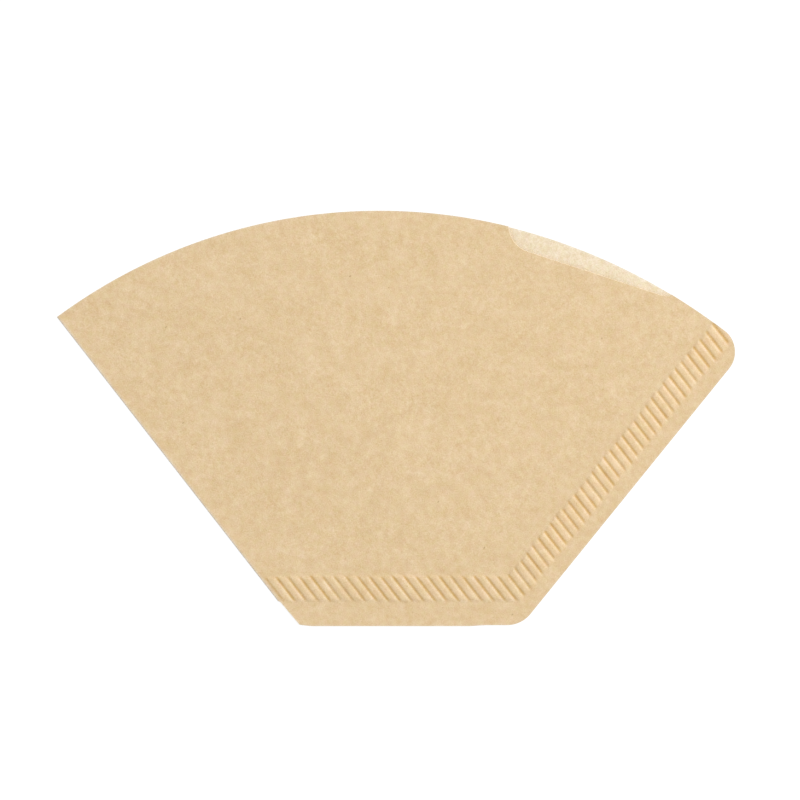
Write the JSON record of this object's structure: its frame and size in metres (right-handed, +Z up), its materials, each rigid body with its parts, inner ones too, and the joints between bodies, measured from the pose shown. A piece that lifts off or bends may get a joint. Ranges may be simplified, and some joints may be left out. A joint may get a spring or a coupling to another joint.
{
  "type": "paper coffee filter",
  "caption": "Flat folded paper coffee filter: a fan-shaped pouch with a curved mouth, a notch in its front ply and crimped, ridged seams along the base and one slanted side.",
  "frame": {"origin": "centre of the footprint, on the surface that the sheet lies on", "axes": "+X along the crimped bottom edge towards the crimped slanted side, +Y from the bottom edge to the mouth, +Z up out of the sheet, through the front ply"},
  "size_m": [0.1654, 0.101, 0.0018],
  "materials": {
    "paper": "matte, unbleached, finely mottled"
  },
  "bodies": {
    "root": {"filter_sheet": "paper"}
  },
  "joints": []
}
